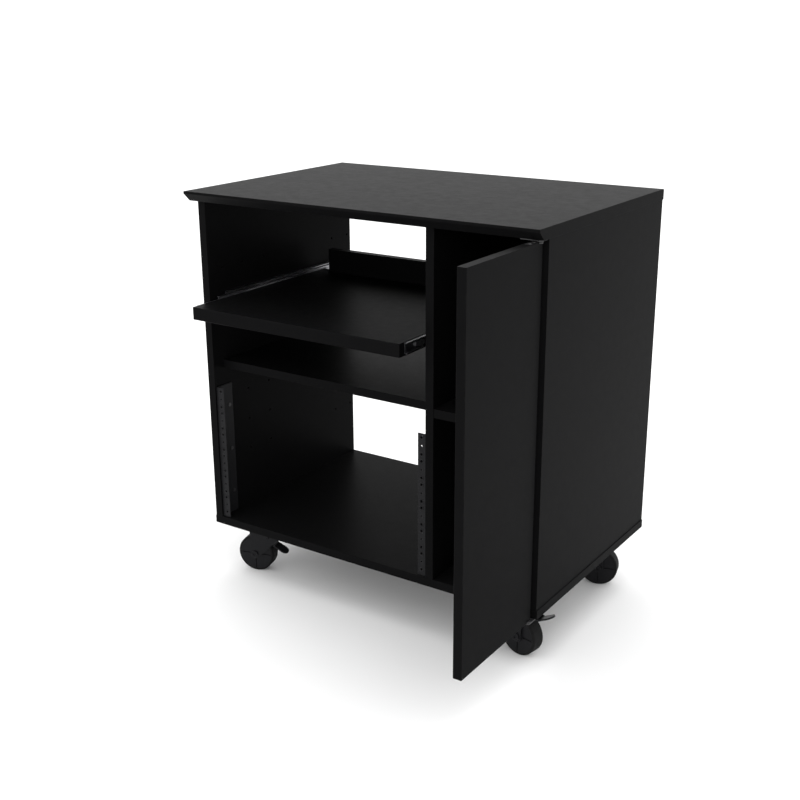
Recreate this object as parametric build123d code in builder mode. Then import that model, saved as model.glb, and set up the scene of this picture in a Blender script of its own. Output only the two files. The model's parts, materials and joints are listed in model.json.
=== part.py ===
from build123d import *
import math
import os

# Mobile lectern cabinet. Millimetres, +Z up, +X to the user's right, -Y towards the user.
# Origin: on the floor, at the middle of the footprint with the door open and the tray drawn out.
os.makedirs("parts", exist_ok=True)

# ---- Cabinet -------------------------------------------------------------------------------
cabinet_width = 729.0  # worktop and base board, end to end
cabinet_height = 672.0  # base board's underside to the worktop's surface
panel_depth = 450.0  # upright panels, front to back
board = 15.9  # thickness of the uprights, shelves, base and door
top_thickness = 19.0
end_reveal = 1.5  # worktop and base stand proud of the side panels at each end
top_overhang = 34.6  # worktop's tip in front of the panels
nose_height = 4.4  # upright face above the worktop's underside bevel
rack_opening = 486.0  # clear width between the left panel and the divider
shelf_height = 339.0  # top of both fixed shelves above the base board's underside
left_shelf_setback = 28.0
right_shelf_setback = 1.0
rear_setback = 10.0
back_thickness = 6.0
back_inset = 4.0
edge_ease = 0.8

# ---- Dowels and structure screws -------------------------------------------------------------
dowel_radius = 4.0
dowel_length = 32.0
dowel_in_face = 11.0  # depth of a dowel in the face of the board it stands on
dowel_end_gap = 1.0
dowel_edge = 60.0  # outermost dowels from the panels' front and rear edges
dowel_rows = 3
base_screw_radius = 2.5
base_screw_length = 50.0
base_screw_head_radius = 5.0
base_screw_head = 2.5
pilot_radius = 2.5  # spare system holes for a second tray height and other fittings
pilot_depth = 10.0
pilot_setbacks = (38.0, 96.0, 160.0, 384.0, 438.0)  # behind the panels' front edges
pilot_levels = (134.0, 198.0, 262.0, 520.0)  # above the base board's underside

# ---- Rack rails ------------------------------------------------------------------------------
rack_units = 6
rack_unit = 44.45
rack_hole_spacing = 465.1
rack_hole_radius = 2.4  # 10-32 thread
rack_tapped_offsets = (6.35, 38.1)  # tapped holes of a unit, above its lower edge
rack_plain_offset = 22.225
rack_plain_radius = 1.8
rack_collar_radius = 4.4  # drawn collar behind each tapped hole
rack_collar = 4.0
rail_flange = 18.0
rail_depth = 42.0
rail_thickness = 2.0
rail_setback = 4.0
rail_base_gap = 1.0
rail_foot = 4.2  # rail below its lowest unit
rail_head = 0.6  # rail above its highest unit

# ---- Tray and its slides ---------------------------------------------------------------------
slide_width = 12.7  # one side, wall to tray
slide_length = 400.0
slide_front = 43.0  # slide's front end behind the panels' front edges
middle_recess = 18.0  # middle member's ends inside the outer member's, when closed
slide_centre = 453.5  # height above the base board's underside
slide_sheet = 1.2
outer_half = 18.5
middle_half = 14.0
inner_half = 9.5
outer_reach = 10.4
middle_from = 3.6
middle_web = 5.2
middle_reach = 9.8
inner_from = 7.6
ball_radius = 1.35
cage_sheet = 0.6
cage_length = 140.0
cage_start = 120.0  # cage's front end behind the slide's, when closed
outer_cage_at = 2.4
inner_cage_at = 6.6
cage_reach = 2.2
ball_pitch = 20.0
tray_extension = 88.0  # drawn out this far at rest
tray_lead = 15.0  # board in front of the slides' ends
tray_depth = 400.0
tray_thickness = 24.0
tray_top = 464.0
lip_height = 47.0
lip_inset = 25.9
lip_rear = 2.0
slide_screw_radius = 1.9
slide_screw_length = 12.0
slide_screw_head_radius = 3.6
slide_screw_head = 0.9
slide_screw_ends = 30.0
lip_screw_radius = 2.0
lip_screw_length = 45.0
lip_screw_head_radius = 4.0
lip_screw_head = 2.0

# ---- Door ------------------------------------------------------------------------------------
door_width = 226.0
door_bottom = 0.8  # above the base board's underside
door_top_gap = 3.0  # below the worktop's underside
door_gap = 2.5  # closed door's inner face in front of the panels
door_side_reveal = 1.5  # hinge edge inside the worktop's end
pivot_inset = 7.45  # pivot line from the door's hinge edge
pivot_depth = 1.45  # pivot line behind the door's outer face
leaf_thickness = 2.0
leaf_length = 34.0
leaf_width = 11.0
leaf_edge = 2.0
leaf_lobe = 5.0
fixed_leaf_back = 1.0  # fixed leaf's rear edge in front of the panels
bracket_depth = 26.0
hinge_pin_radius = 2.0
hinge_pin_clearance = 0.05
hinge_screw_radius = 1.5
hinge_screw_length = 10.0
hinge_screw_head_radius = 2.8
hinge_screw_head = 0.6
hinge_screw_offsets = (11.0, 24.0)  # from the pivot line
leaf_screw_offsets = (16.0, 29.0)  # from the door's hinge edge

# ---- Casters ---------------------------------------------------------------------------------
caster_height = 110.0
wheel_radius = 38.1
tyre_depth = 5.0
wheel_width = 26.0
tread_round = 3.0
caster_trail = 42.5
plate_length = 105.0
plate_depth = 114.0
plate_thickness = 3.0
plate_front = 11.5  # front plates' edge behind the base board's front edge
plate_rear = 20.0  # rear plates' edge in from the base board's rear edge
plate_end = 47.5  # plate's outer edge in from the base board's end
plate_corner = 8.0
plate_bolt_x = 82.0
plate_bolt_y = 90.0
plate_screw_radius = 3.0
plate_screw_length = 13.0
plate_screw_head_radius = 6.0
plate_screw_head = 3.0
race_radius = 27.0
race_height = 5.0
ball_ring_height = 5.0
ball_ring_outer = 24.0
ball_ring_inner = 16.0
crown_radius = 30.0
running_gap = 0.3
kingpin_radius = 6.0
kingpin_head_radius = 10.0
kingpin_head = 3.0
pin_clearance = 0.05
fork_sheet = 2.5
fork_gap = 15.0  # wheel's middle plane to a leg's inner face
fork_eye = 10.0
fork_bend = 3.0
hub_side_gap = 0.4
hub_boss_radius = 9.0
hub_groove_width = 2.4
hub_groove_depth = 2.0
hub_groove_from = 11.0
hub_grooves = 4
axle_radius = 4.0
axle_head_radius = 7.0
axle_head = 2.5
axle_dish_radius = 3.6
axle_dish = 1.4
pedal_width = 22.0
pedal_sheet = 3.0
pedal_arm = 23.5
pedal_tip = 30.0
pedal_bend = 31.0
pedal_barrel = 4.5
pedal_shoe = 10.0
pedal_shoe_width = 6.0
pedal_pin_radius = 2.5
pedal_pin_head = 1.5
pedal_pin_head_radius = 4.0
pedal_lug = 6.5  # radius of the fork's lugs around a pedal pin
pedal_shoe_turn = 66.0  # from the arm down to the shoe
pedal_travel = 43.0
left_pedal_pin = (28.0, 40.0)  # pin's place from the axle, across the wheel and up
right_pedal_pin = (18.2, 45.4)
caster_turns = (15.0, -11.0, -14.0, 15.0)  # where each caster has swivelled to, in degrees

# ---- Shared places ---------------------------------------------------------------------------
half_width = cabinet_width / 2
pivot_x = half_width - door_side_reveal - pivot_inset
pivot_ahead = door_gap + board - pivot_depth  # pivot line in front of the panels' front edges
door_projection = pivot_ahead + door_width - pivot_inset  # open door, ahead of the panels
front = -(panel_depth - door_projection) / 2  # y of the panels' front edges
rear = front + panel_depth
base_z = caster_height
floor_of_bays = base_z + board
top_z = base_z + cabinet_height
top_under = top_z - top_thickness
side_inner = half_width - end_reveal - board
divider_left = -side_inner + rack_opening
divider_right = divider_left + board
rack_centre = (divider_left - side_inner) / 2
shelf_top = base_z + shelf_height
shelf_under = shelf_top - board
pivot_y = front - pivot_ahead


def bar(x0, x1, y0, y1, z0, z1, mode=Mode.ADD):
    """A rectangular block between two corners."""
    with Locations(((x0 + x1) / 2, (y0 + y1) / 2, (z0 + z1) / 2)):
        Box(abs(x1 - x0), abs(y1 - y0), abs(z1 - z0), mode=mode)


def drill(planes, radius, depth):
    """Round holes of one size, each going down from its plane."""
    with Locations(*planes):
        Cylinder(radius, depth, align=(Align.CENTER, Align.CENTER, Align.MAX), mode=Mode.SUBTRACT)


def screw_group(planes, radius, length, head_radius, head):
    """Identical screws: shank below each plane, a flat head with a cross recess above it."""
    with BuildPart() as group:
        with Locations(*planes):
            Cylinder(radius, length, align=(Align.CENTER, Align.CENTER, Align.MAX))
            Cylinder(head_radius, head, align=(Align.CENTER, Align.CENTER, Align.MIN))
        with Locations(*[plane.offset(head) for plane in planes]):
            for turn in (0, 90):
                Box(
                    head_radius,
                    head_radius / 4,
                    head,
                    rotation=(0, 0, turn),
                    mode=Mode.SUBTRACT,
                )
    return group.part


def save(part, name):
    """Label a finished piece and write it under its own name."""
    part.label = name
    export_step(part, f"parts/{name}.step")


def spread(first, last, count):
    """Evenly spaced values from first to last."""
    return [first + (last - first) * i / (count - 1) for i in range(count)]


# ---- Where the dowels and screws stand ---------------------------------------------------------
upright_centres = (
    -side_inner - board / 2,
    divider_left + board / 2,
    side_inner + board / 2,
)
dowel_ys = spread(front + dowel_edge, rear - dowel_edge, dowel_rows)
top_dowel_planes = [Plane((x, y, top_under)) for x in upright_centres for y in dowel_ys]
base_screw_planes = [
    Plane((x, y, base_z + base_screw_head), z_dir=(0, 0, -1)) for x in upright_centres for y in dowel_ys
]
shelf_dowel_z = shelf_top - board / 2
shelf_ends = [
    (-side_inner, 1),
    (divider_left, -1),
    (divider_right, 1),
    (side_inner, -1),
]
shelf_dowel_planes = [
    Plane((x, y, shelf_dowel_z), z_dir=(into, 0, 0)) for x, into in shelf_ends for y in dowel_ys
]
shelf_dowel_in_panel = board / 2 - dowel_end_gap
tray_left = -side_inner + slide_width
tray_right = divider_left - slide_width
slide_z = base_z + slide_centre
slide_front_y = front + slide_front
tray_front = slide_front_y - tray_extension - tray_lead
tray_rear = tray_front + tray_depth
tray_top_z = base_z + tray_top
tray_under = tray_top_z - tray_thickness
inner_front_y = slide_front_y - tray_extension
slide_sides = {"left": (-side_inner, 1), "right": (divider_left, -1)}
slide_screw_ys = spread(slide_screw_ends, slide_length - slide_screw_ends, 3)
rail_low = floor_of_bays + rail_base_gap
rail_high = rail_low + rail_foot + rack_units * rack_unit + rail_head
rail_front_y = front + rail_setback
rail_screw_zs = spread(rail_low + rack_unit, rail_high - rack_unit, 3)
rail_screw_y = rail_front_y + rail_depth - rail_flange / 2
pilot_ys = [front + setback for setback in pilot_setbacks]


def side_holes(wall_x, into):
    """Spare pilot holes, slide screws and rail screws in one wall of the rack bay."""
    pilots = [Plane((wall_x, y, base_z + z), z_dir=(into, 0, 0)) for z in pilot_levels for y in pilot_ys]
    drill(pilots, pilot_radius, pilot_depth)
    drill(outer_screw_planes(wall_x, into), slide_screw_radius, slide_screw_length)
    drill(rail_screw_planes(wall_x, into), slide_screw_radius, slide_screw_length)


def outer_screw_planes(wall_x, into):
    """Seats of the screws that hold a slide's outer member to its wall."""
    seat = wall_x + into * slide_sheet
    return [Plane((seat, slide_front_y + y, slide_z), z_dir=(into, 0, 0)) for y in slide_screw_ys]


def rail_screw_planes(wall_x, into):
    """Seats of the screws that hold a rack rail to its wall."""
    seat = wall_x + into * rail_thickness
    return [Plane((seat, rail_screw_y, z), z_dir=(into, 0, 0)) for z in rail_screw_zs]


def inner_screw_planes(wall_x, into):
    """Seats of the screws that hold a slide's inner member to the tray."""
    seat = wall_x + into * (slide_width - slide_sheet)
    return [Plane((seat, inner_front_y + y, slide_z), z_dir=(-into, 0, 0)) for y in slide_screw_ys]


# ---- Hinge places ------------------------------------------------------------------------------
door_low = base_z + door_bottom
door_high = top_under - door_top_gap
hinge_screw_xs = [pivot_x - offset for offset in hinge_screw_offsets]
upper_fixed_low = top_under - leaf_thickness
bracket_low = base_z - leaf_thickness
upper_screw_y = (pivot_y + front - fixed_leaf_back) / 2
lower_screw_y = front + bracket_depth / 2
hinge_screw_planes = [
    Plane((x, upper_screw_y, upper_fixed_low + hinge_screw_head), z_dir=(0, 0, -1)) for x in hinge_screw_xs
] + [
    Plane((x, lower_screw_y, bracket_low + hinge_screw_head), z_dir=(0, 0, -1)) for x in hinge_screw_xs
]
upper_screw_planes = hinge_screw_planes[: len(hinge_screw_xs)]
bracket_screw_planes = hinge_screw_planes[len(hinge_screw_xs) :]
# The open door: hinge edge next to the pivot, free edge towards the user.
door_outer_x = pivot_x + pivot_depth
door_inner_x = door_outer_x - board
door_rear_y = pivot_y + pivot_inset
door_front_y = door_rear_y - door_width
leaf_mid_x = door_outer_x - leaf_edge - leaf_width / 2
leaf_mid_y = door_rear_y - leaf_edge - leaf_length / 2
leaf_screw_ys = [door_rear_y - offset for offset in leaf_screw_offsets]
upper_leaf_screws = [
    Plane((leaf_mid_x, y, door_high - hinge_screw_head), z_dir=(0, 0, 1)) for y in leaf_screw_ys
]
lower_leaf_screws = [
    Plane((leaf_mid_x, y, door_low + hinge_screw_head), z_dir=(0, 0, -1)) for y in leaf_screw_ys
]

# ---- Caster places -----------------------------------------------------------------------------
caster_x = half_width - plate_end - plate_length / 2
caster_front_y = front + plate_front + plate_depth / 2
caster_rear_y = rear - plate_rear - plate_depth / 2
plate_under = base_z - plate_thickness
race_under = plate_under - race_height
ball_ring_under = race_under - ball_ring_height
crown_top = ball_ring_under - running_gap
crown_under = crown_top - fork_sheet
kingpin_head_top = crown_under - running_gap
axle_z = wheel_radius
caster_places = {
    "front_left": (-caster_x, caster_front_y, -1),
    "front_right": (caster_x, caster_front_y, 1),
    "rear_left": (-caster_x, caster_rear_y, -1),
    "rear_right": (caster_x, caster_rear_y, 1),
}
turn_of = dict(zip(caster_places, caster_turns))
plate_corners = [(sx * plate_bolt_x / 2, sy * plate_bolt_y / 2) for sx in (-1, 1) for sy in (-1, 1)]
plate_screw_planes = [
    Plane((x + dx, y + dy, plate_under), z_dir=(0, 0, -1))
    for x, y, _ in caster_places.values()
    for dx, dy in plate_corners
]

# ---- Worktop -----------------------------------------------------------------------------------
bevel_run = top_thickness - nose_height
with BuildPart() as top_panel:
    with BuildSketch(Plane.YZ.offset(-half_width)):
        with BuildLine():
            Polyline(
                (rear, top_under),
                (front - top_overhang + bevel_run, top_under),
                (front - top_overhang, top_under + bevel_run),
                (front - top_overhang, top_z),
                (rear, top_z),
                close=True,
            )
        make_face()
    extrude(amount=cabinet_width)
    chamfer(top_panel.edges().group_by(Axis.Z)[-1], length=edge_ease)
    drill([-p for p in top_dowel_planes], dowel_radius, dowel_in_face)
    drill(upper_screw_planes, hinge_screw_radius, hinge_screw_length)
save(top_panel.part, "top_panel")

# ---- Base board --------------------------------------------------------------------------------
with BuildPart() as base_panel:
    bar(-half_width, half_width, front, rear, base_z, floor_of_bays)
    chamfer(base_panel.edges().group_by(Axis.Z)[-1], length=edge_ease)
    drill([p.offset(base_screw_head) for p in base_screw_planes], base_screw_head_radius, base_screw_head)
    drill(base_screw_planes, base_screw_radius, board)
    drill(plate_screw_planes, plate_screw_radius, plate_screw_length)
    drill(bracket_screw_planes, hinge_screw_radius, hinge_screw_length)
save(base_panel.part, "base_panel")

# ---- Uprights ----------------------------------------------------------------------------------
with BuildPart() as left_side_panel:
    bar(-side_inner - board, -side_inner, front, rear, floor_of_bays, top_under)
    drill(top_dowel_planes[:dowel_rows], dowel_radius, dowel_length - dowel_in_face)
    drill(base_screw_planes[:dowel_rows], base_screw_radius, base_screw_length)
    drill(shelf_dowel_planes[:dowel_rows], dowel_radius, shelf_dowel_in_panel)
    side_holes(-side_inner, 1)
save(left_side_panel.part, "left_side_panel")

with BuildPart() as divider_panel:
    bar(divider_left, divider_right, front, rear, floor_of_bays, top_under)
    drill(top_dowel_planes[dowel_rows : 2 * dowel_rows], dowel_radius, dowel_length - dowel_in_face)
    drill(base_screw_planes[dowel_rows : 2 * dowel_rows], base_screw_radius, base_screw_length)
    drill(shelf_dowel_planes[dowel_rows : 3 * dowel_rows], dowel_radius, shelf_dowel_in_panel)
    side_holes(divider_left, -1)
save(divider_panel.part, "divider_panel")

with BuildPart() as right_side_panel:
    bar(side_inner, side_inner + board, front, rear, floor_of_bays, top_under)
    drill(top_dowel_planes[2 * dowel_rows :], dowel_radius, dowel_length - dowel_in_face)
    drill(base_screw_planes[2 * dowel_rows :], base_screw_radius, base_screw_length)
    drill(shelf_dowel_planes[3 * dowel_rows :], dowel_radius, shelf_dowel_in_panel)
save(right_side_panel.part, "right_side_panel")

# ---- Fixed shelves and the back of the closed bay -----------------------------------------------
back_front_y = rear - back_inset - back_thickness
shelf_dowel_in_shelf = dowel_length - shelf_dowel_in_panel


def shelf(x0, x1, y0, y1, dowels):
    """A fixed shelf with dowel bores in both ends."""
    with BuildPart() as body:
        bar(x0, x1, y0, y1, shelf_under, shelf_top)
        drill([-p for p in dowels], dowel_radius, shelf_dowel_in_shelf)
    return body.part


left_dowels = shelf_dowel_planes[: 2 * dowel_rows]
right_dowels = shelf_dowel_planes[2 * dowel_rows :]
left_front_y = front + left_shelf_setback
right_front_y = front + right_shelf_setback
save(shelf(-side_inner, divider_left, left_front_y, rear - rear_setback, left_dowels), "left_shelf")
save(shelf(divider_right, side_inner, right_front_y, back_front_y, right_dowels), "right_shelf")

with BuildPart() as right_back_panel:
    bar(divider_right, side_inner, back_front_y, rear - back_inset, floor_of_bays, top_under)
save(right_back_panel.part, "right_back_panel")

# ---- Dowels and screws of the case --------------------------------------------------------------
with BuildPart() as panel_dowels:
    with Locations(*[p.offset(dowel_in_face - dowel_end_gap) for p in top_dowel_planes]):
        Cylinder(dowel_radius, dowel_length - dowel_end_gap, align=(Align.CENTER, Align.CENTER, Align.MAX))
    with Locations(*[p.offset(shelf_dowel_in_shelf - dowel_end_gap) for p in shelf_dowel_planes]):
        Cylinder(dowel_radius, dowel_length - dowel_end_gap, align=(Align.CENTER, Align.CENTER, Align.MAX))
save(panel_dowels.part, "panel_dowels")

base_screws = screw_group(
    base_screw_planes, base_screw_radius, base_screw_length, base_screw_head_radius, base_screw_head
)
save(base_screws, "base_screws")

# ---- Rack rails ---------------------------------------------------------------------------------
unit_lows = [rail_low + rail_foot + unit * rack_unit for unit in range(rack_units)]
tapped_zs = [low + offset for low in unit_lows for offset in rack_tapped_offsets]
plain_zs = [low + rack_plain_offset for low in unit_lows]
for side, (wall_x, into) in slide_sides.items():
    rack_hole_x = rack_centre - into * rack_hole_spacing / 2
    flange_rear_y = rail_front_y + rail_thickness
    flange_tip_x = wall_x + into * rail_flange
    leg_face_x = wall_x + into * rail_thickness
    with BuildPart() as rail:
        bar(wall_x, flange_tip_x, rail_front_y, flange_rear_y, rail_low, rail_high)
        bar(wall_x, leg_face_x, rail_front_y, rail_front_y + rail_depth, rail_low, rail_high)
        tapped_planes = [Plane((rack_hole_x, rail_front_y, z), z_dir=(0, -1, 0)) for z in tapped_zs]
        plain_planes = [Plane((rack_hole_x, rail_front_y, z), z_dir=(0, -1, 0)) for z in plain_zs]
        with Locations(*[p.offset(-rail_thickness) for p in tapped_planes]):
            Cylinder(rack_collar_radius, rack_collar, align=(Align.CENTER, Align.CENTER, Align.MAX))
        drill(tapped_planes, rack_hole_radius, rail_thickness + rack_collar)
        drill(plain_planes, rack_plain_radius, rail_thickness)
        drill(rail_screw_planes(wall_x, into), slide_screw_radius, rail_thickness)
    save(rail.part, f"rack_rail_{side}")


# ---- Slides: each is drawn out from its wall towards the tray ------------------------------------
def slide_bar(wall_x, into, u0, u1, y0, y1, z0, z1):
    """A strip of a slide, between two distances from the wall and two heights from its centre."""
    bar(wall_x + into * u0, wall_x + into * u1, y0, y1, slide_z + z0, slide_z + z1)


def channel(wall_x, into, y0, length, web, reach, half, web_to_wall):
    """A slide member: an upright web with a flange along its top and bottom edges."""
    y1 = y0 + length
    slide_bar(wall_x, into, *web_to_wall, y0, y1, -half, half)
    for up in (-1, 1):
        slide_bar(wall_x, into, web, reach, y0, y1, up * half, up * (half - slide_sheet))


def ball_cage(wall_x, into, y0, at, ball_z):
    """A thin retainer with a row of balls along its top and bottom edges."""
    edge = ball_z + cage_sheet / 2
    y1 = y0 + cage_length
    ball_x = wall_x + into * (at + cage_reach)
    ball_count = int(cage_length / ball_pitch)
    ball_ys = [y0 + ball_pitch * (i + 0.5) for i in range(ball_count)]
    with BuildPart() as cage:
        slide_bar(wall_x, into, at, at + cage_sheet, y0, y1, -edge, edge)
        for up in (-1, 1):
            slide_bar(wall_x, into, at, at + cage_reach, y0, y1, up * edge, up * (edge - cage_sheet))
            with Locations(*[(ball_x, y, slide_z + up * ball_z) for y in ball_ys]):
                Sphere(ball_radius, rotation=(0, 0, 90 - 90 * into))
    return cage.part


outer_ball_z = (outer_half - slide_sheet + middle_half) / 2
inner_ball_z = (middle_half - slide_sheet + inner_half) / 2
for side, (wall_x, into) in slide_sides.items():
    with BuildPart() as outer:
        channel(wall_x, into, slide_front_y, slide_length, 0, outer_reach, outer_half, (0, slide_sheet))
        drill(outer_screw_planes(wall_x, into), slide_screw_radius, slide_sheet)
    save(outer.part, f"slide_outer_{side}")
    with BuildPart() as middle:
        middle_y = slide_front_y + middle_recess - tray_extension / 2
        middle_length = slide_length - 2 * middle_recess
        web = (middle_web, middle_web + slide_sheet)
        channel(wall_x, into, middle_y, middle_length, middle_from, middle_reach, middle_half, web)
    save(middle.part, f"slide_middle_{side}")
    with BuildPart() as inner:
        web = (slide_width - slide_sheet, slide_width)
        channel(wall_x, into, inner_front_y, slide_length, inner_from, slide_width, inner_half, web)
        drill(inner_screw_planes(wall_x, into), slide_screw_radius, slide_sheet)
    save(inner.part, f"slide_inner_{side}")
    cage_y = slide_front_y + cage_start
    outer_cage_y = cage_y - tray_extension / 4
    inner_cage_y = cage_y - tray_extension * 3 / 4
    save(ball_cage(wall_x, into, outer_cage_y, outer_cage_at, outer_ball_z), f"ball_cage_outer_{side}")
    save(ball_cage(wall_x, into, inner_cage_y, inner_cage_at, inner_ball_z), f"ball_cage_inner_{side}")

wall_screw_planes = [
    plane
    for wall_x, into in slide_sides.values()
    for plane in outer_screw_planes(wall_x, into) + rail_screw_planes(wall_x, into)
]
tray_screw_planes = [p for wall_x, into in slide_sides.values() for p in inner_screw_planes(wall_x, into)]
small_screw = (slide_screw_radius, slide_screw_length, slide_screw_head_radius, slide_screw_head)
save(screw_group(wall_screw_planes, *small_screw), "wall_screws")
save(screw_group(tray_screw_planes, *small_screw), "slide_tray_screws")

# ---- Tray ---------------------------------------------------------------------------------------
lip_rear_y = tray_rear - lip_rear
lip_mid_y = lip_rear_y - board / 2
lip_screw_xs = spread(tray_left + 2 * lip_inset, tray_right - 2 * lip_inset, 3)
lip_screw_planes = [
    Plane((x, lip_mid_y, tray_under + lip_screw_head), z_dir=(0, 0, -1)) for x in lip_screw_xs
]
with BuildPart() as tray_board:
    bar(tray_left, tray_right, tray_front, tray_rear, tray_under, tray_top_z)
    chamfer(tray_board.edges().filter_by(Axis.X).group_by(Axis.Y)[0], length=edge_ease)
    drill(tray_screw_planes, slide_screw_radius, slide_screw_length)
    drill(lip_screw_planes, lip_screw_radius, lip_screw_length)
    drill([p.offset(lip_screw_head) for p in lip_screw_planes], lip_screw_head_radius, lip_screw_head)
save(tray_board.part, "tray_board")

with BuildPart() as tray_lip:
    bar(tray_left + lip_inset, tray_right - lip_inset, lip_rear_y - board, lip_rear_y,
        tray_top_z, tray_top_z + lip_height)
    drill(lip_screw_planes, lip_screw_radius, lip_screw_length)
save(tray_lip.part, "tray_lip")

lip_screws = screw_group(
    lip_screw_planes, lip_screw_radius, lip_screw_length, lip_screw_head_radius, lip_screw_head
)
save(lip_screws, "lip_screws")


# ---- Door and its pivot hinges ------------------------------------------------------------------
def leaf_outline(z):
    """The moving leaf's outline: a strip on the door's edge with a lobe around the pivot."""
    with BuildSketch(Plane.XY.offset(z)) as outline:
        with Locations((leaf_mid_x, leaf_mid_y)):
            Rectangle(leaf_width, leaf_length)
        with Locations((pivot_x, pivot_y)):
            Circle(leaf_lobe)
    return outline.sketch


def fixed_leaf(z, back_y, pin_low, pin_high, screws):
    """A leaf fastened to the case, with the hinge pin standing on it."""
    with BuildPart() as leaf:
        with BuildSketch(Plane.XY.offset(z)):
            with Locations(((2 * pivot_x + leaf_lobe - leaf_length) / 2, (pivot_y + back_y) / 2)):
                Rectangle(leaf_length + leaf_lobe, back_y - pivot_y)
            with Locations((pivot_x, pivot_y)):
                Circle(leaf_lobe)
        extrude(amount=leaf_thickness)
        with Locations((pivot_x, pivot_y, pin_low)):
            Cylinder(hinge_pin_radius, pin_high - pin_low, align=(Align.CENTER, Align.CENTER, Align.MIN))
        drill(screws, hinge_screw_radius, leaf_thickness)
        drill([p.offset(hinge_screw_head) for p in screws], hinge_screw_head_radius, hinge_screw_head)
    return leaf.part


upper_leaf_low = door_high - leaf_thickness
with BuildPart() as door_panel:
    bar(door_inner_x, door_outer_x, door_front_y, door_rear_y, door_low, door_high)
    chamfer(door_panel.edges().filter_by(Axis.Z), length=edge_ease)
    extrude(leaf_outline(upper_leaf_low), amount=leaf_thickness, mode=Mode.SUBTRACT)
    extrude(leaf_outline(door_low), amount=leaf_thickness, mode=Mode.SUBTRACT)
    drill(upper_leaf_screws + lower_leaf_screws, hinge_screw_radius, hinge_screw_length)
save(door_panel.part, "door_panel")

with BuildPart() as door_leaves:
    for leaf_low, leaf_screws in ((upper_leaf_low, upper_leaf_screws), (door_low, lower_leaf_screws)):
        extrude(leaf_outline(leaf_low), amount=leaf_thickness)
        drill(leaf_screws, hinge_screw_radius, leaf_thickness)
        drill([p.offset(hinge_screw_head) for p in leaf_screws], hinge_screw_head_radius, hinge_screw_head)
        pin_plane = Plane((pivot_x, pivot_y, leaf_low + leaf_thickness))
        drill([pin_plane], hinge_pin_radius + hinge_pin_clearance, leaf_thickness)
save(door_leaves.part, "door_leaves")

upper_pin_low = upper_leaf_low + running_gap
lower_pin_high = door_low + leaf_thickness - running_gap
upper_leaf = fixed_leaf(
    upper_fixed_low, front - fixed_leaf_back, upper_pin_low, upper_fixed_low, upper_screw_planes
)
lower_leaf = fixed_leaf(bracket_low, front + bracket_depth, base_z, lower_pin_high, bracket_screw_planes)
save(upper_leaf, "hinge_leaf_upper")
save(lower_leaf, "hinge_bracket_lower")

hinge_screw = (hinge_screw_radius, hinge_screw_length, hinge_screw_head_radius, hinge_screw_head)
save(screw_group(hinge_screw_planes, *hinge_screw), "fitting_screws")
save(screw_group(upper_leaf_screws + lower_leaf_screws, *hinge_screw), "door_screws")

# ---- Casters ------------------------------------------------------------------------------------
crown_rise = crown_top - axle_z
eye_lead = fork_eye * math.sqrt(2)  # where the fork's leading slope crosses the axle's height
leg_outer = fork_gap + fork_sheet


def along_y(x, y, z, way=1):
    """A plane at a point, facing along Y."""
    return Plane((x, y, z), x_dir=(1, 0, 0), z_dir=(0, way, 0))


def caster_fork(x, y, out, pin):
    """Fork: a crown under the bearing, two sloping legs, and bores for its pins."""
    axle_x = x + out * caster_trail
    lead_x = axle_x - out * (eye_lead + crown_rise)
    with BuildPart() as fork:
        for way in (-1, 1):
            with BuildSketch(along_y(0, y + way * fork_gap, 0, -1)):
                with BuildLine():
                    Polyline(
                        (axle_x + out * fork_eye, axle_z),
                        (axle_x + out * fork_eye, crown_top),
                        (lead_x, crown_top),
                        (axle_x - out * eye_lead / 2, axle_z - eye_lead / 2),
                        (axle_x, axle_z),
                        close=True,
                    )
                make_face()
                with Locations((axle_x, axle_z)):
                    Circle(fork_eye)
                if pin:
                    with Locations((axle_x + pin[0] / 2, axle_z + pin[1])):
                        SlotCenterToCenter(pin[0], 2 * pedal_lug)
            extrude(amount=-way * fork_sheet)
        bar(lead_x, axle_x + out * fork_eye, y - leg_outer, y + leg_outer, crown_under, crown_top)
        top_edges = fork.edges().filter_by(Axis.X).group_by(Axis.Z)[-1]
        fillet(top_edges, fork_bend)
        with Locations((x, y, crown_under)):
            Cylinder(crown_radius, fork_sheet, align=(Align.CENTER, Align.CENTER, Align.MIN))
        drill([Plane((x, y, crown_top))], kingpin_radius + pin_clearance, fork_sheet)
        drill([along_y(axle_x, y + leg_outer, axle_z)], axle_radius, 2 * leg_outer)
        if pin:
            pin_plane = along_y(axle_x + pin[0], y + leg_outer, axle_z + pin[1])
            drill([pin_plane], pedal_pin_radius, 2 * leg_outer)
    return fork.part


def cross_pin(x, y, z, radius, head_radius, head, dish_radius, dish):
    """A pin across the fork's legs with a dished head on each side."""
    with BuildPart() as pin:
        with Locations(along_y(x, y, z)):
            Cylinder(radius, 2 * leg_outer)
        for way in (-1, 1):
            with Locations(along_y(x, y + way * leg_outer, z, way)):
                Cylinder(head_radius, head, align=(Align.CENTER, Align.CENTER, Align.MIN))
            drill([along_y(x, y + way * (leg_outer + head), z, way)], dish_radius, dish)
    return pin.part


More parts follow.
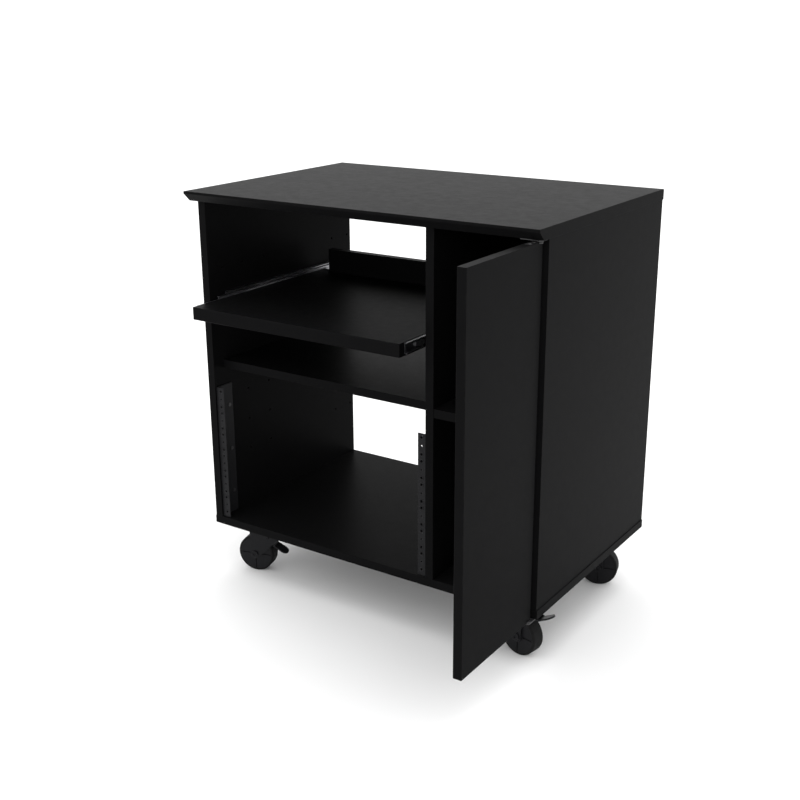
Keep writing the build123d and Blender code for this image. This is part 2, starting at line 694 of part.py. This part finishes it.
def wheel_hub(x, y):
    """Solid wheel centre with a boss, a bore for the axle and grooves in both faces."""
    groove_length = wheel_radius - tyre_depth - hub_groove_from
    groove_mid = hub_groove_from + groove_length / 2
    with BuildPart() as hub:
        with Locations(along_y(x, y, axle_z)):
            Cylinder(wheel_radius - tyre_depth, wheel_width)
            Cylinder(hub_boss_radius, 2 * (fork_gap - hub_side_gap))
        drill([along_y(x, y + fork_gap, axle_z)], axle_radius + pin_clearance, 2 * fork_gap)
        for way in (-1, 1):
            for i in range(hub_grooves):
                turn = 2 * math.pi * i / hub_grooves
                ray = (math.cos(turn), 0, math.sin(turn))
                spot = (x + groove_mid * ray[0], y + way * wheel_width / 2, axle_z + groove_mid * ray[2])
                with Locations(Plane(spot, x_dir=ray, z_dir=(0, way, 0))):
                    Box(groove_length, hub_groove_width, 2 * hub_groove_depth, mode=Mode.SUBTRACT)
    return hub.part


def wheel_tyre(x, y):
    """Tread around the hub, rounded at both shoulders."""
    with BuildPart() as tyre:
        with Locations(along_y(x, y, axle_z)):
            Cylinder(wheel_radius, wheel_width)
        fillet(tyre.edges().filter_by(GeomType.CIRCLE), tread_round)
        with Locations(along_y(x, y, axle_z)):
            Cylinder(wheel_radius - tyre_depth, wheel_width, mode=Mode.SUBTRACT)
    return tyre.part


def brake_pedal(x, y, z, angle):
    """Bent pedal on a cross pin, with a shoe that bears on the tread when it is pressed."""
    knee = (x + pedal_arm * math.cos(math.radians(angle)), z + pedal_arm * math.sin(math.radians(angle)))
    tip_turn = math.radians(angle + pedal_bend)
    tip_along = (math.cos(tip_turn), 0, math.sin(tip_turn))
    tip_up = (-math.sin(tip_turn), 0, math.cos(tip_turn))
    tip_straight = pedal_tip - pedal_width / 2
    shoe_angle = angle - pedal_shoe_turn
    shoe_turn = math.radians(shoe_angle)
    shoe_mid = (x + pedal_shoe / 2 * math.cos(shoe_turn), z + pedal_shoe / 2 * math.sin(shoe_turn))
    with BuildPart() as pedal:
        with BuildSketch(along_y(0, y, 0, -1)):
            with Locations(((x + knee[0]) / 2, (z + knee[1]) / 2)):
                SlotCenterToCenter(pedal_arm, pedal_sheet, rotation=angle)
            with Locations(shoe_mid):
                Rectangle(pedal_shoe, pedal_shoe_width, rotation=shoe_angle)
            with Locations((x, z)):
                Circle(pedal_barrel)
        extrude(amount=pedal_width / 2, both=True)
        with BuildSketch(Plane((knee[0], y, knee[1]), x_dir=tip_along, z_dir=tip_up)):
            with Locations((tip_straight / 2, 0)):
                Rectangle(tip_straight, pedal_width)
            with Locations((tip_straight, 0)):
                Circle(pedal_width / 2)
        extrude(amount=pedal_sheet / 2, both=True)
        drill([along_y(x, y + pedal_width / 2, z)], pedal_pin_radius + pin_clearance, pedal_width)
    return pedal.part


left_pedal_angle = math.degrees(math.atan2(-left_pedal_pin[1], -left_pedal_pin[0])) + pedal_shoe_turn
right_pedal_angle = (
    math.degrees(math.atan2(-right_pedal_pin[1], -right_pedal_pin[0])) + pedal_shoe_turn + pedal_travel
)
pedals = {
    "front_left": (left_pedal_pin, left_pedal_angle),
    "front_right": (right_pedal_pin, right_pedal_angle),
}


def save_turned(part, name, place):
    """Save a caster's piece turned about its kingpin to where the caster stands."""
    x, y, _ = caster_places[place]
    save(part.rotate(Axis((x, y, 0), (0, 0, 1)), turn_of[place]), f"{name}_{place}")


for place, (x, y, out) in caster_places.items():
    axle_x = x + out * caster_trail
    pin, angle = pedals.get(place, (None, None))
    save_turned(caster_fork(x, y, out, pin), "caster_fork", place)
    axle = cross_pin(axle_x, y, axle_z, axle_radius, axle_head_radius, axle_head, axle_dish_radius, axle_dish)
    save_turned(axle, "caster_axle", place)
    save_turned(wheel_hub(axle_x, y), "wheel_hub", place)
    save_turned(wheel_tyre(axle_x, y), "wheel_tyre", place)
    if pin:
        pedal_x = axle_x + pin[0]
        pedal_z = axle_z + pin[1]
        save_turned(brake_pedal(pedal_x, y, pedal_z, angle), "brake_pedal", place)
        pedal_pin = cross_pin(
            pedal_x, y, pedal_z, pedal_pin_radius, pedal_pin_head_radius, pedal_pin_head,
            pedal_pin_radius / 2, pedal_pin_head / 2,
        )
        save_turned(pedal_pin, "pedal_pin", place)

with BuildPart() as caster_plates:
    with BuildSketch(Plane.XY.offset(plate_under)):
        with Locations(*[(x, y) for x, y, _ in caster_places.values()]):
            RectangleRounded(plate_length, plate_depth, plate_corner)
    extrude(amount=plate_thickness)
    with Locations(*[(x, y, race_under) for x, y, _ in caster_places.values()]):
        Cylinder(race_radius, race_height, align=(Align.CENTER, Align.CENTER, Align.MIN))
    drill([Plane((x, y, base_z)) for x, y, _ in caster_places.values()], kingpin_radius, base_z - race_under)
    drill(plate_screw_planes, plate_screw_radius, plate_screw_length)
save(caster_plates.part, "caster_plates")

with BuildPart() as caster_kingpins:
    with Locations(*[(x, y, kingpin_head_top) for x, y, _ in caster_places.values()]):
        Cylinder(kingpin_head_radius, kingpin_head, align=(Align.CENTER, Align.CENTER, Align.MAX))
        Cylinder(kingpin_radius, base_z - kingpin_head_top, align=(Align.CENTER, Align.CENTER, Align.MIN))
save(caster_kingpins.part, "caster_kingpins")

with BuildPart() as caster_ball_rings:
    with BuildSketch(Plane.XY.offset(ball_ring_under)):
        with Locations(*[(x, y) for x, y, _ in caster_places.values()]):
            Circle(ball_ring_outer)
            Circle(ball_ring_inner, mode=Mode.SUBTRACT)
    extrude(amount=ball_ring_height)
save(caster_ball_rings.part, "caster_ball_rings")

caster_screws = screw_group(
    plate_screw_planes, plate_screw_radius, plate_screw_length, plate_screw_head_radius, plate_screw_head
)
save(caster_screws, "caster_screws")
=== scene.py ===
import json
import math

import bmesh
import bpy
from mathutils import Matrix, Vector


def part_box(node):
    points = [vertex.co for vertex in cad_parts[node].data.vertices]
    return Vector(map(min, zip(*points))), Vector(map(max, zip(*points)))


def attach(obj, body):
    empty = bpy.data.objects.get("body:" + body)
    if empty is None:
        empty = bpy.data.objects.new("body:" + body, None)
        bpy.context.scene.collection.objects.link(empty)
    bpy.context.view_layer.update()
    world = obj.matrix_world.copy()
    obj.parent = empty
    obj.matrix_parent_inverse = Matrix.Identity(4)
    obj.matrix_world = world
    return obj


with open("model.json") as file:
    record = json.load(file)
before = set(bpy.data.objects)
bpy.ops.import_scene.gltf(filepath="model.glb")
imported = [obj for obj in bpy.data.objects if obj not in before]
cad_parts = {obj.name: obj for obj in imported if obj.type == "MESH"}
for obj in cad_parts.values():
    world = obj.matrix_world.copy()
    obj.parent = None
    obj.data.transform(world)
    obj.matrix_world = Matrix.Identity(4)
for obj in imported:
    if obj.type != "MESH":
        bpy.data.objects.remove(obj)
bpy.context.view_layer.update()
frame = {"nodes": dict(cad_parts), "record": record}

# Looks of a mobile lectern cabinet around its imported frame. Metres, +Z up, +X to the user's right.
nodes = frame["nodes"]
mm = 0.001

# ---- Camera ------------------------------------------------------------------------------------
view_azimuth = math.radians(34.06)
view_elevation = math.radians(18.61)
view_roll = math.radians(-0.32)
camera_data = bpy.data.cameras.new("camera")
camera_data.sensor_width = 36.0
camera_data.lens = 52.77
camera_data.clip_end = 200.0
camera = bpy.data.objects.new("camera", camera_data)
bpy.context.scene.collection.objects.link(camera)
camera.matrix_world = (
    Matrix.Translation((1.1644, -1.7016, 1.1012))
    @ Matrix.Rotation(view_azimuth, 4, "Z")
    @ Matrix.Rotation(math.pi / 2 - view_elevation, 4, "X")
    @ Matrix.Rotation(view_roll, 4, "Z")
)
bpy.context.scene.camera = camera
bpy.context.scene.view_settings.view_transform = "Standard"


# ---- Materials ---------------------------------------------------------------------------------
class Graph:
    """A material's node tree, with a call for each kind of node used here."""

    def __init__(self, name):
        self.material = bpy.data.materials.new(name)
        self.material.use_nodes = True
        self.tree = self.material.node_tree
        self.shader = self.tree.nodes["Principled BSDF"]
        self.coords = self.add("ShaderNodeTexCoord").outputs["Object"]

    def add(self, kind):
        return self.tree.nodes.new(kind)

    def link(self, source, target):
        self.tree.links.new(source, target)

    def stretched(self, scale):
        """Object coordinates scaled along each axis, for streaks and brushing."""
        node = self.add("ShaderNodeMapping")
        node.inputs["Scale"].default_value = scale
        self.link(self.coords, node.inputs["Vector"])
        return node.outputs["Vector"]

    def noise(self, scale, detail=3.0, vector=None):
        node = self.add("ShaderNodeTexNoise")
        node.inputs["Scale"].default_value = scale
        node.inputs["Detail"].default_value = detail
        self.link(vector or self.coords, node.inputs["Vector"])
        return node.outputs["Fac"]

    def remap(self, value, low, high, to_low, to_high):
        node = self.add("ShaderNodeMapRange")
        for key, number in (("From Min", low), ("From Max", high), ("To Min", to_low), ("To Max", to_high)):
            node.inputs[key].default_value = number
        self.link(value, node.inputs["Value"])
        return node.outputs["Result"]

    def math(self, operation, a, b):
        node = self.add("ShaderNodeMath")
        node.operation = operation
        self.link(a, node.inputs[0])
        if isinstance(b, (int, float)):
            node.inputs[1].default_value = b
        else:
            self.link(b, node.inputs[1])
        return node.outputs["Value"]

    def mix(self, factor, a, b):
        """Colours a and b, each a value or a socket, mixed by factor."""
        node = self.add("ShaderNodeMix")
        node.data_type = "RGBA"
        self.link(factor, node.inputs["Factor"])
        for socket, colour in ((node.inputs[6], a), (node.inputs[7], b)):
            if isinstance(colour, tuple):
                socket.default_value = (*colour, 1.0)
            else:
                self.link(colour, socket)
        return node.outputs[2]

    def edges(self, radius):
        """1 along the solid's edges and 0 on its faces, from how far a rounded normal turns."""
        rounded = self.add("ShaderNodeBevel")
        rounded.samples = 4
        rounded.inputs["Radius"].default_value = radius
        flat = self.add("ShaderNodeNewGeometry")
        dot = self.add("ShaderNodeVectorMath")
        dot.operation = "DOT_PRODUCT"
        self.link(rounded.outputs["Normal"], dot.inputs[0])
        self.link(flat.outputs["Normal"], dot.inputs[1])
        return self.remap(dot.outputs["Value"], 0.995, 0.86, 0.0, 1.0)

    def facing_up(self):
        """1 on faces that look up, where dust settles."""
        flat = self.add("ShaderNodeNewGeometry")
        split = self.add("ShaderNodeSeparateXYZ")
        self.link(flat.outputs["Normal"], split.inputs["Vector"])
        return self.remap(split.outputs["Z"], 0.6, 0.95, 0.0, 1.0)

    def bump(self, height, distance, strength, radius):
        """Surface relief over edges rounded by radius."""
        rounded = self.add("ShaderNodeBevel")
        rounded.samples = 4
        rounded.inputs["Radius"].default_value = radius
        node = self.add("ShaderNodeBump")
        node.inputs["Distance"].default_value = distance
        node.inputs["Strength"].default_value = strength
        self.link(height, node.inputs["Height"])
        self.link(rounded.outputs["Normal"], node.inputs["Normal"])
        self.link(node.outputs["Normal"], self.shader.inputs["Normal"])


def shade(colour, factor):
    return tuple(channel * factor for channel in colour)


def finish(name, colour, roughness, *, metallic=0.0, specular=0.5, mottle=0.12, patch=9.0, smear=0.06,
           relief=900.0, depth=0.02, edge=0.4, worn=None, dust=0.0, streaks=None):
    """A moulded, painted, laminated or plated surface.

    mottle is the share by which its colour varies over patches, smear how far its roughness does, relief and
    depth (mm) the grain of its surface, edge (mm) the rounding of its edges, worn their colour where rubbed.
    """
    graph = Graph(name)
    vector = graph.stretched(streaks) if streaks else None
    broad = graph.noise(patch, 4.0)
    grain = graph.noise(relief, 2.0, vector)
    spread = graph.remap(broad, 0.3, 0.7, 0.0, 1.0)
    base = graph.mix(spread, shade(colour, 1 - mottle), shade(colour, 1 + mottle))
    speck = graph.remap(grain, 0.35, 0.65, 0.0, 1.0)
    base = graph.mix(graph.math("MULTIPLY", speck, 0.35), base, shade(colour, 1 + 1.5 * mottle))
    edges = graph.edges(1.6 * edge * mm)
    rubbed = graph.math("MULTIPLY", edges, graph.remap(graph.noise(60.0, 5.0), 0.42, 0.62, 0.15, 1.0))
    base = graph.mix(rubbed, base, worn or shade(colour, 1.8))
    if dust:
        lint = graph.remap(graph.noise(420.0, 6.0), 0.60, 0.76, 0.0, dust)
        base = graph.mix(graph.math("MULTIPLY", lint, graph.facing_up()), base, (0.30, 0.29, 0.27))
    graph.link(base, graph.shader.inputs["Base Color"])
    smudges = graph.remap(graph.noise(patch * 2.2, 6.0), 0.3, 0.7, roughness - smear, roughness + smear)
    fine = graph.remap(grain, 0.3, 0.7, -0.03, 0.03)
    graph.link(graph.math("ADD", smudges, fine), graph.shader.inputs["Roughness"])
    graph.shader.inputs["Metallic"].default_value = metallic
    graph.shader.inputs["Specular IOR Level"].default_value = specular
    graph.bump(grain, depth * mm, 0.35, edge * mm)
    return graph.material


black = (0.0045, 0.0045, 0.0047)
finishes = {
    "black_laminate": finish("laminate", black, 0.40, specular=0.011, mottle=0.05, patch=30.0, smear=0.02,
                             relief=1300.0, depth=0.03, edge=0.7, worn=(0.012, 0.012, 0.012), dust=0.05),
    "beech_dowel": finish("beech", (0.42, 0.27, 0.14), 0.6, mottle=0.3, streaks=(500.0, 500.0, 30.0), relief=1.0),
    "zinc_screws": finish("zinc_screw", (0.42, 0.42, 0.43), 0.36, metallic=1.0, patch=200.0, edge=0.15),
    "black_screws": finish("black_screw", (0.012, 0.012, 0.013), 0.42, patch=200.0, edge=0.15,
                           worn=(0.05, 0.05, 0.05)),
    "black_powder_coat": finish("powder_coat", (0.009, 0.009, 0.010), 0.5, specular=0.1, relief=700.0, depth=0.06,
                                edge=0.5, worn=(0.04, 0.04, 0.04)),
    "zinc_slide": finish("zinc_slide", (0.20, 0.20, 0.21), 0.34, metallic=1.0, mottle=0.08, patch=40.0,
                         streaks=(900.0, 12.0, 900.0), relief=1.0, depth=0.01, edge=0.2),
    "ball_steel": finish("ball_steel", (0.45, 0.45, 0.46), 0.22, metallic=1.0, patch=90.0, edge=0.1),
    "black_fittings": finish("black_fitting", (0.014, 0.014, 0.015), 0.45, patch=70.0, edge=0.25,
                             worn=(0.05, 0.05, 0.05)),
    "caster_black": finish("caster_steel", (0.006, 0.006, 0.007), 0.42, specular=0.12, relief=600.0, depth=0.03,
                           edge=0.5, worn=(0.05, 0.05, 0.05)),
    "wheel_plastic": finish("wheel_nylon", (0.006, 0.006, 0.007), 0.5, specular=0.12, patch=50.0, relief=900.0,
                            edge=0.5, worn=(0.04, 0.04, 0.04)),
    "wheel_tread": finish("wheel_rubber", (0.006, 0.006, 0.006), 0.7, specular=0.1, patch=70.0, smear=0.1,
                          relief=420.0, depth=0.06, edge=0.5, worn=(0.03, 0.03, 0.028), dust=0.25),
}
for entry in frame["record"]["subparts"]:
    data = nodes[entry["node"]].data
    data.materials.clear()
    data.materials.append(finishes[entry["material_slot"]])


# ---- Detail pieces -----------------------------------------------------------------------------
def piece(name, build, body, slot):
    """A detail made by build(bmesh), riding on a body with the finish of a slot."""
    mesh = bpy.data.meshes.new(name)
    form = bmesh.new()
    build(form)
    bmesh.ops.recalc_face_normals(form, faces=form.faces)
    form.to_mesh(mesh)
    form.free()
    mesh.materials.append(finishes[slot])
    item = bpy.data.objects.new(name, mesh)
    bpy.context.scene.collection.objects.link(item)
    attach(item, body)
    return item


def turned(form, centre, axis, profile, steps=40):
    """A ring or disc turned about an axis through centre: profile gives (radius, height) pairs."""
    turn = Vector(axis).to_track_quat("Z", "Y").to_matrix()
    rows = []
    for radius, height in profile:
        row = []
        for i in range(steps):
            angle = 2 * math.pi * i / steps
            local = Vector((radius * math.cos(angle), radius * math.sin(angle), height))
            row.append(form.verts.new(Vector(centre) + turn @ local))
        rows.append(row)
    for a, b in zip(rows, rows[1:] + rows[:1]):
        for i in range(steps):
            j = (i + 1) % steps
            form.faces.new((a[i], a[j], b[j], b[i]))


mounts = {mount["name"]: mount for mount in frame["record"]["mounts"]}
rails = mounts["rack_rails"]
rack_x, rack_y, rack_z = rails["pos_m"]
columns = rails["dims"]["spacing_x_mm"] * mm
outer_rows = rails["dims"]["spacing_y_mm"] * mm
hole_radius = rails["dims"]["hole_r_mm"] * mm
units = 6
unit = 44.45 * mm
pair = 12.7 * mm  # between the outer holes of two neighbouring units

ring_inner = hole_radius + 0.7 * mm
ring_outer = hole_radius + 2.4 * mm
ring_rise = 0.35 * mm
ring_profile = (
    (ring_inner, -0.02 * mm),
    (ring_inner + 0.3 * mm, ring_rise),
    (ring_outer - 0.3 * mm, ring_rise),
    (ring_outer, -0.02 * mm),
)


def rail_rings(side):
    """Pressed rings around the upper and lower hole of each rack unit."""

    def build(form):
        x = rack_x + side * columns / 2
        low = rack_z - outer_rows / 2
        for i in range(units):
            for z in (low + i * unit, low + i * unit + unit - pair):
                turned(form, (x, rack_y, z), (0, -1, 0), ring_profile, 28)

    return build


piece("rack_rings_left", rail_rings(-1), "cabinet", "black_powder_coat")
piece("rack_rings_right", rail_rings(1), "cabinet", "black_powder_coat")

lever_length = 26.0 * mm
lever_height = 9.0 * mm
lever_back = 31.0 * mm  # lever's front end behind the inner slide's
lever_gap = 1.4 * mm  # from the slide's tray face to the lever
lever_sheet = 2.0 * mm


def slide_lever(side):
    """Flat release lever against the inner slide's web, rounded at both ends."""

    def build(form):
        low_corner, high_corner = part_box(f"slide_inner_{side}")
        face = high_corner[0] - lever_gap if side == "left" else low_corner[0] + lever_gap
        other = face - lever_sheet if side == "left" else face + lever_sheet
        middle = (low_corner[2] + high_corner[2]) / 2
        radius = lever_height / 2
        front = low_corner[1] + lever_back
        outline = []
        for start, y in ((math.pi / 2, front + radius), (-math.pi / 2, front + lever_length - radius)):
            for i in range(9):
                angle = start + math.pi * i / 8
                outline.append((y + radius * math.cos(angle), middle + radius * math.sin(angle)))
        sides = [[form.verts.new((x, y, z)) for y, z in outline] for x in (face, other)]
        form.faces.new(sides[0])
        form.faces.new(sides[1])
        for i in range(len(outline)):
            j = (i + 1) % len(outline)
            form.faces.new((sides[0][i], sides[0][j], sides[1][j], sides[1][i]))

    return build


piece("slide_lever_left", slide_lever("left"), "tray", "black_fittings")
piece("slide_lever_right", slide_lever("right"), "tray", "black_fittings")

# ---- Floor and lights --------------------------------------------------------------------------
floor_mesh = bpy.data.meshes.new("floor")
half = 40.0
floor_mesh.from_pydata([(-half, -half, 0), (half, -half, 0), (half, half, 0), (-half, half, 0)], [], [(0, 1, 2, 3)])
floor = bpy.data.objects.new("floor", floor_mesh)
bpy.context.scene.collection.objects.link(floor)
paper = Graph("floor_paper")
paper.link(paper.mix(paper.noise(3.0), (0.88, 0.88, 0.88), (0.90, 0.90, 0.90)), paper.shader.inputs["Base Color"])
paper.shader.inputs["Roughness"].default_value = 0.9
paper.shader.inputs["Specular IOR Level"].default_value = 0.0
floor_mesh.materials.append(paper.material)

world = bpy.data.worlds.new("studio")
world.use_nodes = True
world.node_tree.nodes["Background"].inputs["Color"].default_value = (1.0, 1.0, 1.0, 1.0)
world.node_tree.nodes["Background"].inputs["Strength"].default_value = 1.42
bpy.context.scene.world = world


def soft_light(name, place, aim, size, power):
    """A square area light at a place, turned to its aim."""
    data = bpy.data.lights.new(name, "AREA")
    data.size = size
    data.energy = power
    lamp = bpy.data.objects.new(name, data)
    lamp.location = place
    lamp.rotation_euler = (Vector(aim) - Vector(place)).to_track_quat("-Z", "Y").to_euler()
    bpy.context.scene.collection.objects.link(lamp)


soft_light("overhead", (0.0, 0.3, 4.5), (0, 0.1, 0), 5.0, 90.0)
